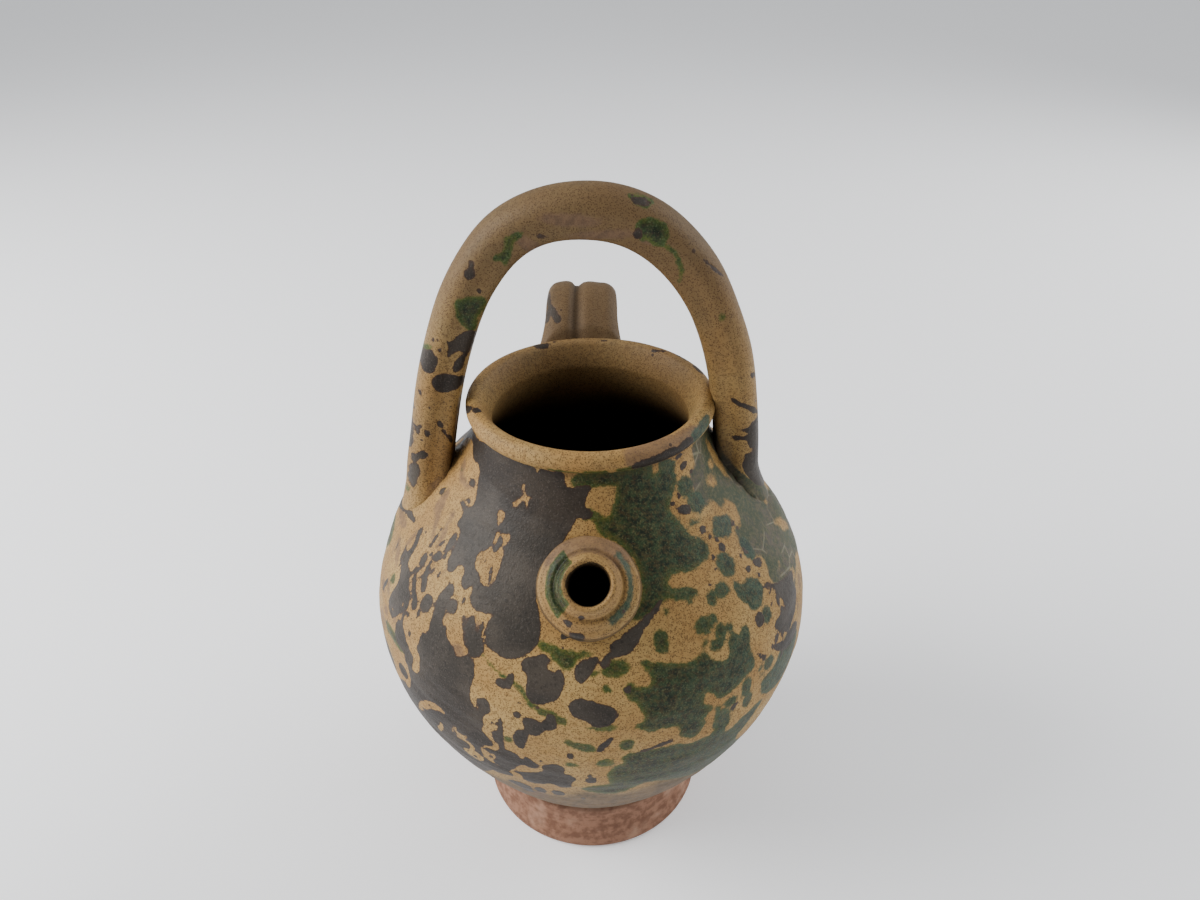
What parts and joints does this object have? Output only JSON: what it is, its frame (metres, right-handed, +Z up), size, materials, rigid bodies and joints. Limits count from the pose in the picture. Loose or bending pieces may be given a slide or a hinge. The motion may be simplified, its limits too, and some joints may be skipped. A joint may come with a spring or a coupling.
{
  "type": "water jug",
  "caption": "Round-bellied terracotta water jug with an open mouth, a hoop handle over it, a short spout in front and a strap handle behind.",
  "frame": {"origin": "centre of the foot's underside", "axes": "+Z up through the mouth, +X along the hoop handle's span, the spout faces -Y and the strap handle +Y"},
  "size_m": [0.1914, 0.2005, 0.3094],
  "materials": {
    "terracotta": "satin splashed slip over ochre clay, bare pinkish foot"
  },
  "bodies": {
    "root": {"jug": "terracotta"}
  },
  "joints": []
}
